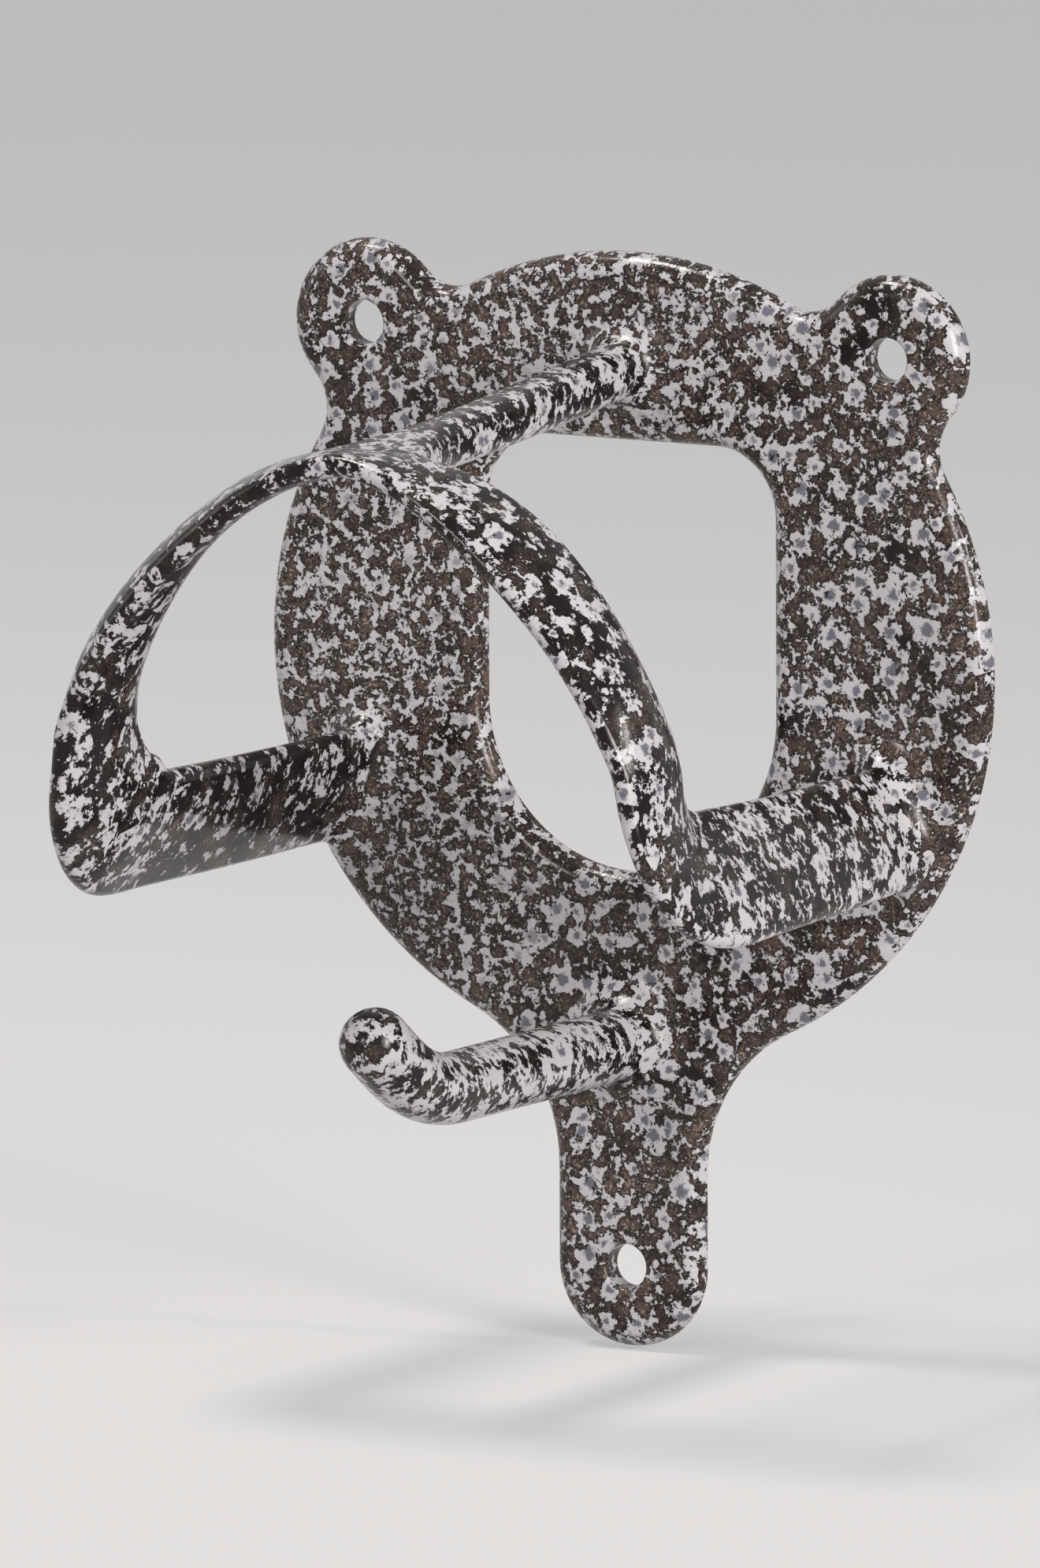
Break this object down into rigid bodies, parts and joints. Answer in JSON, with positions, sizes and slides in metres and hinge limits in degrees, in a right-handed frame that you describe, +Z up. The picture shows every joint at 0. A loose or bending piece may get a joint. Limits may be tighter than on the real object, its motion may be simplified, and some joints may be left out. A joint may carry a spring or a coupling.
{
  "type": "bridle holder",
  "caption": "Cast wall-mounted bridle holder: ring-shaped plate with screw ears and a tail, a bowed saddle on side struts and a spine, and an upturned hook below.",
  "frame": {"origin": "on the wall plane, midway between the screw holes in the two ears", "axes": "+Z up the wall, -Y out of the wall towards the bow and the hook, +X to the viewer's right"},
  "size_m": [0.1374, 0.1039, 0.1861],
  "materials": {
    "hammered_enamel": "glossy hammered enamel, light grey patches over dark brown"
  },
  "bodies": {
    "root": {"bridle_holder": "hammered_enamel"}
  },
  "joints": []
}
